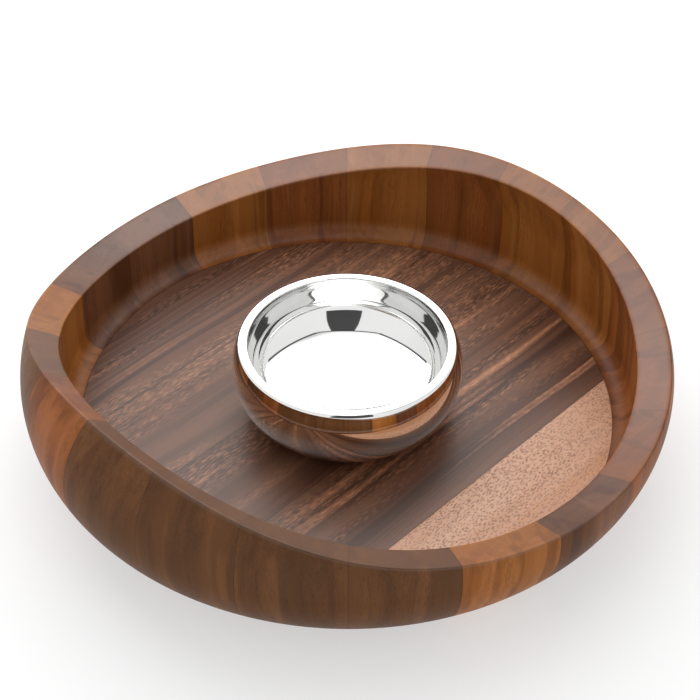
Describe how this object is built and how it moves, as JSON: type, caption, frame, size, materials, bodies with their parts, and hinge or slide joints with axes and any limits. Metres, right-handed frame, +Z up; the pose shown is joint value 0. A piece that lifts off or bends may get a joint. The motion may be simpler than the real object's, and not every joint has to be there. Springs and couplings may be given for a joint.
{
  "type": "chip and dip server",
  "caption": "Round staved wood tray with a waved rim, and a loose polished metal dip bowl standing in its middle.",
  "frame": {"origin": "under the middle of the tray, on the plane it stands on", "axes": "+Z up, +X to the right and +Y to the back as it is looked at from the front"},
  "size_m": [0.343, 0.343, 0.086],
  "materials": {
    "wood_light": "oiled satin, golden tan brown",
    "wood_mid": "oiled satin, reddish brown",
    "wood_dark": "oiled satin, dark brown",
    "wood_floor": "oiled satin, grey brown with reddish ribbons",
    "wood_tan_plank": "oiled satin, light orange tan",
    "polished_metal": "mirror polished casting"
  },
  "bodies": {
    "tray": {"stave_01": "wood_mid", "stave_02": "wood_light", "stave_03": "wood_light", "stave_04": "wood_mid", "stave_05": "wood_light", "stave_06": "wood_dark", "stave_07": "wood_light", "stave_08": "wood_dark", "stave_09": "wood_dark", "stave_10": "wood_light", "stave_11": "wood_mid", "stave_12": "wood_mid", "stave_13": "wood_mid", "stave_14": "wood_dark", "stave_15": "wood_dark", "stave_16": "wood_dark", "stave_17": "wood_light", "stave_18": "wood_mid", "stave_19": "wood_mid", "stave_20": "wood_mid", "floor_plank_1": "wood_tan_plank", "floor_plank_2": "wood_floor", "floor_plank_3": "wood_floor", "floor_plank_4": "wood_floor", "floor_plank_5": "wood_floor"},
    "dip_bowl": {"dip_bowl": "polished_metal"}
  },
  "joints": [
    {"name": "dip_bowl_lift", "type": "slide", "parent": "tray", "child": "dip_bowl", "axis": [0, 0, 1], "range_m": [0, 0.12]}
  ]
}
